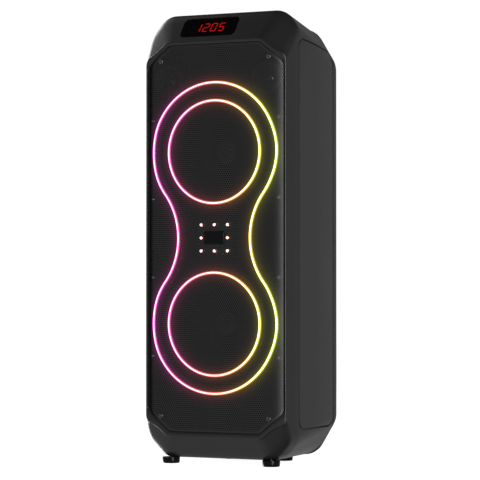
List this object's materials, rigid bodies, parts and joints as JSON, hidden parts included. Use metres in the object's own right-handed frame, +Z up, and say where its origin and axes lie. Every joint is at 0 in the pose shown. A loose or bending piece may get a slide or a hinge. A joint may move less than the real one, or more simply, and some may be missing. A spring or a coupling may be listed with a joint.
{
  "type": "party speaker",
  "caption": "Tall two-woofer party speaker with a perforated front grille, figure-eight light tubes, a sloping display bezel and rear connections.",
  "frame": {"origin": "centre of the bounding box's footprint, on the floor", "axes": "+Z up along the tower, -Y out of the grille, +X to the right as seen from the front"},
  "size_m": [0.236, 0.176, 0.65],
  "materials": {
    "shell_plastic": "fine moulded texture, charcoal black",
    "side_panel_plastic": "smooth satin charcoal",
    "handle_plastic": "moulded texture",
    "port_plastic": "smooth moulded black",
    "foot_rubber": "semi-gloss black rubber",
    "dark_screw_steel": "blackened steel screws",
    "baffle_plastic": "moulded black",
    "grille_steel": "powder-coated perforated steel",
    "board": "circuit board",
    "light_tube": "milky light tube, lit from behind",
    "light_pip": "milky lens, lit from behind",
    "badge_plastic": "blank gloss black plate",
    "horn_plastic": "moulded black",
    "tweeter_dome": "thin domed foil",
    "motor_steel": "zinc-plated steel",
    "smoked_window": "smoked window",
    "display_plastic": "dark display body",
    "control_plastic": "gloss black top plate",
    "io_plastic": "moulded black",
    "jack_plastic": "black sockets",
    "knob_plastic": "ribbed black knob",
    "switch_plastic": "black switch",
    "battery_wrap": "blue shrink wrap",
    "lead_sleeve": "red sleeved lead",
    "button_rubber": "soft button",
    "basket_metal": "black stamped steel",
    "magnet_ferrite": "grey ferrite",
    "spider_cloth": "resin-soaked cloth",
    "coil_former": "aluminium former",
    "cone_paper": "black pressed paper",
    "surround_rubber": "half-roll rubber"
  },
  "bodies": {
    "enclosure": {"cabinet": "shell_plastic", "rear_cover": "shell_plastic", "side_panel_left": "side_panel_plastic", "side_panel_right": "side_panel_plastic", "handle_cup": "handle_plastic", "port_tube": "port_plastic", "feet": "foot_rubber", "foot_screws": "dark_screw_steel", "front_baffle": "baffle_plastic", "grille": "grille_steel", "grille_screws": "dark_screw_steel", "baffle_screws": "dark_screw_steel", "driver_screws": "dark_screw_steel", "rear_screws": "dark_screw_steel", "led_boards": "board", "led_ring_upper": "light_tube", "led_ring_lower": "light_tube", "led_outline_ring": "light_tube", "led_pips": "light_pip", "badge_plate": "badge_plastic", "tweeter_horn_left": "horn_plastic", "tweeter_horn_right": "horn_plastic", "tweeter_motors": "motor_steel", "display_window": "smoked_window", "display_module": "display_plastic", "control_panel": "control_plastic", "button_board": "board", "io_panel": "io_plastic", "io_jacks": "jack_plastic", "power_switch_frame": "switch_plastic", "amp_board": "board", "battery_pack": "battery_wrap", "speaker_leads": "lead_sleeve", "woofer_upper_basket": "basket_metal", "woofer_upper_magnet": "magnet_ferrite", "woofer_upper_pole_pieces": "motor_steel", "woofer_upper_spider": "spider_cloth", "woofer_upper_surround": "surround_rubber", "woofer_lower_basket": "basket_metal", "woofer_lower_magnet": "magnet_ferrite", "woofer_lower_pole_pieces": "motor_steel", "woofer_lower_spider": "spider_cloth", "woofer_lower_surround": "surround_rubber"},
    "woofer_upper_moving": {"woofer_upper_cone": "cone_paper", "woofer_upper_dust_cap": "cone_paper", "woofer_upper_voice_coil": "coil_former"},
    "woofer_lower_moving": {"woofer_lower_cone": "cone_paper", "woofer_lower_dust_cap": "cone_paper", "woofer_lower_voice_coil": "coil_former"},
    "tweeter_left_moving": {"tweeter_dome_left": "tweeter_dome"},
    "tweeter_right_moving": {"tweeter_dome_right": "tweeter_dome"},
    "light_button_body": {"light_button": "button_rubber"},
    "previous_button_body": {"previous_button": "button_rubber"},
    "play_button_body": {"play_button": "button_rubber"},
    "next_button_body": {"next_button": "button_rubber"},
    "mode_button_body": {"mode_button": "button_rubber"},
    "effect_button_body": {"effect_button": "button_rubber"},
    "mic_volume_knob_body": {"mic_volume_knob": "knob_plastic"},
    "echo_knob_body": {"echo_knob": "knob_plastic"},
    "power_rocker_body": {"power_rocker": "switch_plastic"}
  },
  "joints": [
    {"name": "woofer_upper_stroke", "type": "slide", "parent": "enclosure", "child": "woofer_upper_moving", "axis": [0, -1, 0], "range_m": [-0.0035, 0.0035], "stiffness_N_per_m": 1000, "deforming": ["woofer_upper_surround", "woofer_upper_spider"]},
    {"name": "woofer_lower_stroke", "type": "slide", "parent": "enclosure", "child": "woofer_lower_moving", "axis": [0, -1, 0], "range_m": [-0.0035, 0.0035], "stiffness_N_per_m": 1000, "deforming": ["woofer_lower_surround", "woofer_lower_spider"]},
    {"name": "tweeter_left_stroke", "type": "slide", "parent": "enclosure", "child": "tweeter_left_moving", "axis": [0, -1, 0], "range_m": [-0.0003, 0.0003], "stiffness_N_per_m": 200},
    {"name": "tweeter_right_stroke", "type": "slide", "parent": "enclosure", "child": "tweeter_right_moving", "axis": [0, -1, 0], "range_m": [-0.0003, 0.0003], "stiffness_N_per_m": 200},
    {"name": "light_button_press", "type": "slide", "parent": "enclosure", "child": "light_button_body", "axis": [0, -0.1496, -0.9888], "range_m": [0, 0.0008], "stiffness_N_per_m": 800},
    {"name": "previous_button_press", "type": "slide", "parent": "enclosure", "child": "previous_button_body", "axis": [0, -0.1496, -0.9888], "range_m": [0, 0.0008], "stiffness_N_per_m": 800},
    {"name": "play_button_press", "type": "slide", "parent": "enclosure", "child": "play_button_body", "axis": [0, -0.1496, -0.9888], "range_m": [0, 0.0008], "stiffness_N_per_m": 800},
    {"name": "next_button_press", "type": "slide", "parent": "enclosure", "child": "next_button_body", "axis": [0, -0.1496, -0.9888], "range_m": [0, 0.0008], "stiffness_N_per_m": 800},
    {"name": "mode_button_press", "type": "slide", "parent": "enclosure", "child": "mode_button_body", "axis": [0, -0.1496, -0.9888], "range_m": [0, 0.0008], "stiffness_N_per_m": 800},
    {"name": "effect_button_press", "type": "slide", "parent": "enclosure", "child": "effect_button_body", "axis": [0, -0.1496, -0.9888], "range_m": [0, 0.0008], "stiffness_N_per_m": 800},
    {"name": "mic_volume_turn", "type": "hinge", "parent": "enclosure", "child": "mic_volume_knob_body", "pos_m": [-0.045, 0.083, 0.486], "axis": [0, 1, 0], "range_deg": [-140, 140]},
    {"name": "echo_turn", "type": "hinge", "parent": "enclosure", "child": "echo_knob_body", "pos_m": [-0.008, 0.083, 0.486], "axis": [0, 1, 0], "range_deg": [-140, 140]},
    {"name": "power_rocker_tilt", "type": "hinge", "parent": "enclosure", "child": "power_rocker_body", "pos_m": [0.044, 0.075, 0.482], "axis": [1, 0, 0], "range_deg": [-16, 0]}
  ]
}
